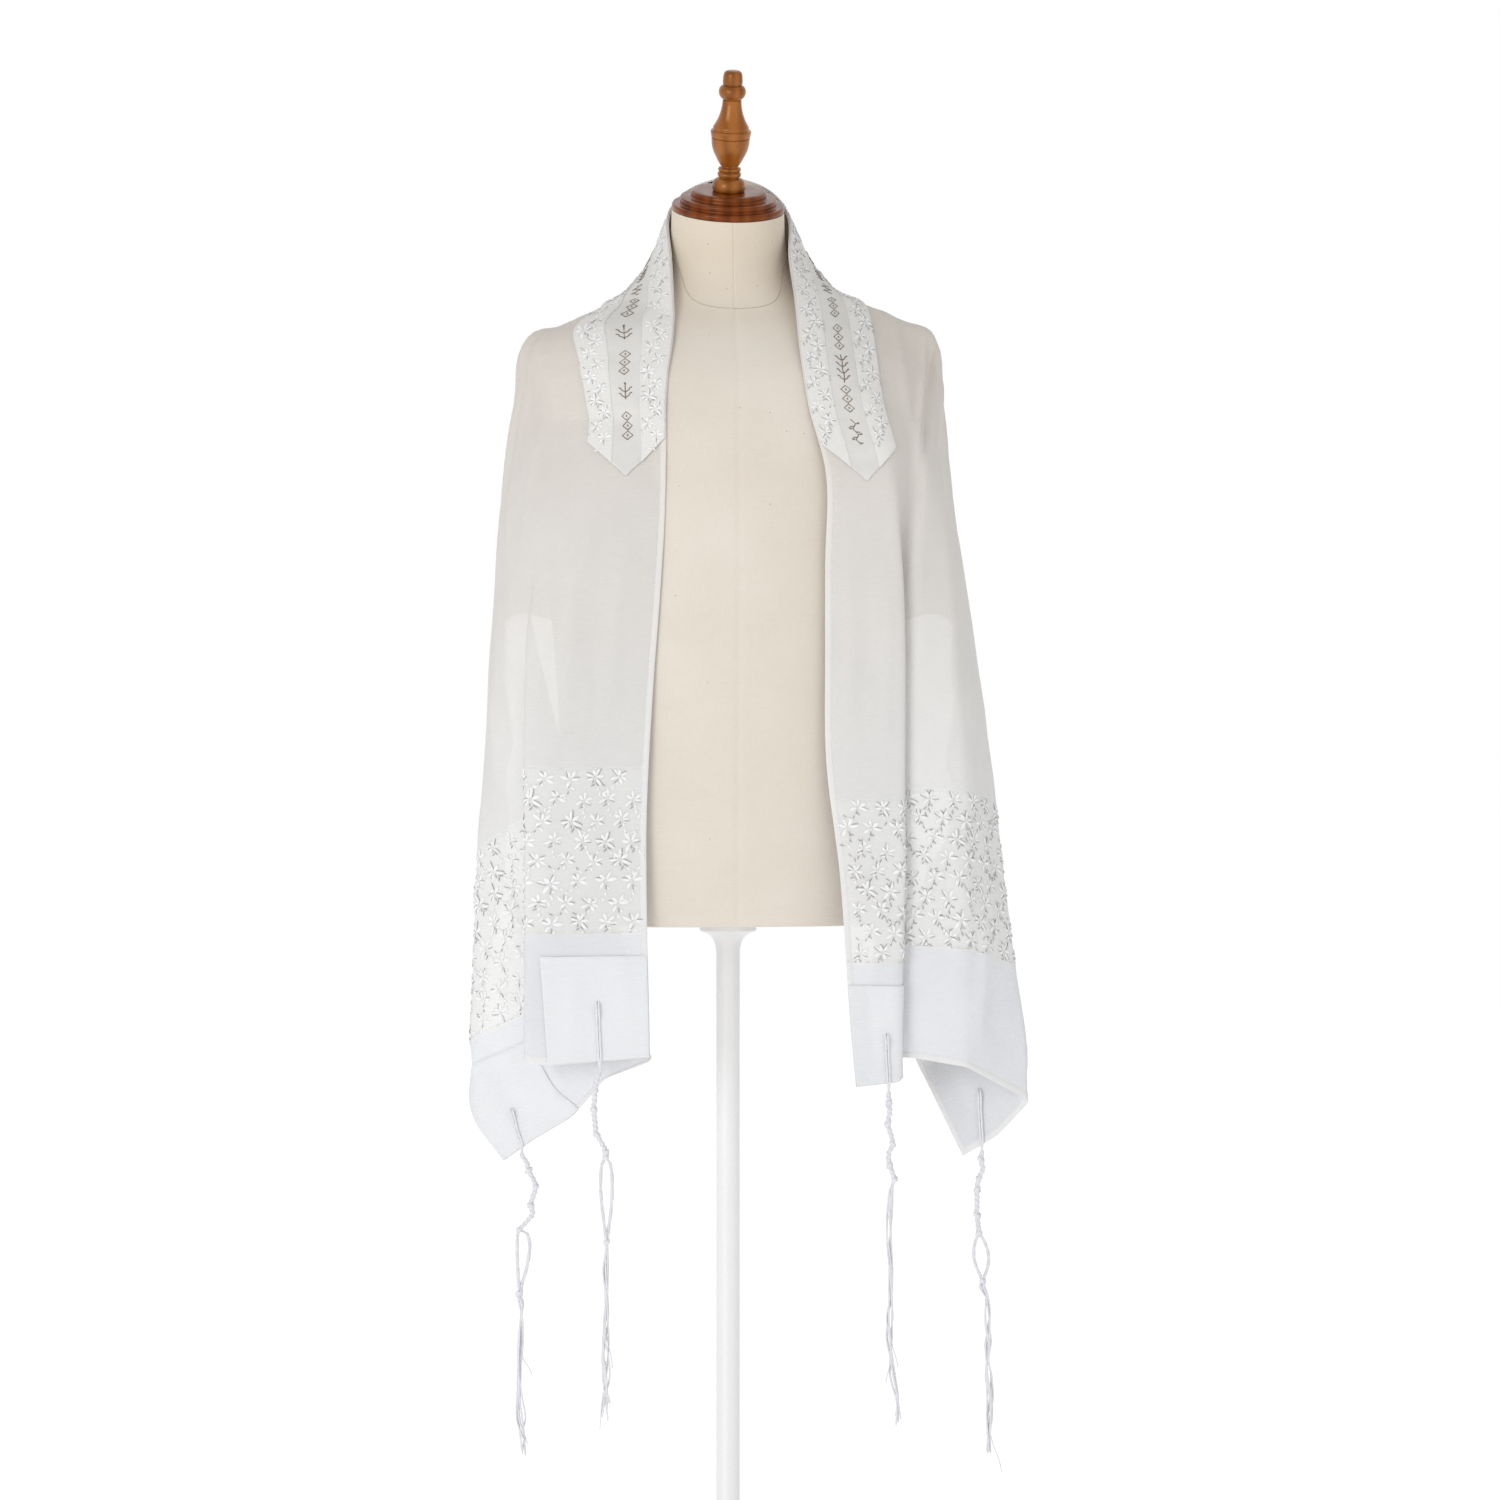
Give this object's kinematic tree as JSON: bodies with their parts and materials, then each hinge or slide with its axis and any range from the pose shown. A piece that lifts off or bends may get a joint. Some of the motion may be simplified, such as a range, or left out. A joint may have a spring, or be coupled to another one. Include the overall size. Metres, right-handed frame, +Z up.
{
  "type": "tallit prayer shawl on a limbless dress form with pole stand",
  "caption": "Sheer white tallit with embroidered lace bands, neckband and knotted corner tassels, draped on a linen-covered limbless dress form on a pole stand.",
  "frame": {"origin": "middle of the round base's underside, on the floor", "axes": "+Z up, the open front faces -Y, the viewer's right (the wearer's left) is +X"},
  "size_m": [0.5863, 0.32, 1.6823],
  "materials": {
    "linen": "matt natural linen",
    "dark_wood": "glossy red-brown stain",
    "light_wood": "satin honey-brown varnish",
    "white_metal": "satin white paint",
    "sheer_cloth": "sheer voile",
    "lace": "voile with satin-stitch embroidery",
    "patch_cloth": "doubled voile",
    "satin": "soft satin",
    "label_cloth": "plain navy tape",
    "thread": "twisted wool thread"
  },
  "bodies": {
    "root": {"form_torso": "linen", "neck_cap": "dark_wood", "finial": "light_wood", "stand_pole": "white_metal", "stand_base": "white_metal", "body_cloth": "sheer_cloth", "lace_band_left": "lace", "lace_band_right": "lace", "end_panel_left": "sheer_cloth", "end_panel_right": "sheer_cloth", "corner_patch_left_inner": "patch_cloth", "corner_patch_left_outer": "patch_cloth", "corner_patch_right_inner": "patch_cloth", "corner_patch_right_outer": "patch_cloth", "collar_base": "satin", "collar_trim_inner": "lace", "collar_trim_outer": "lace", "nape_label": "label_cloth", "tassel_left_inner": "thread", "tassel_left_outer": "thread", "tassel_right_inner": "thread", "tassel_right_outer": "thread"}
  },
  "joints": []
}
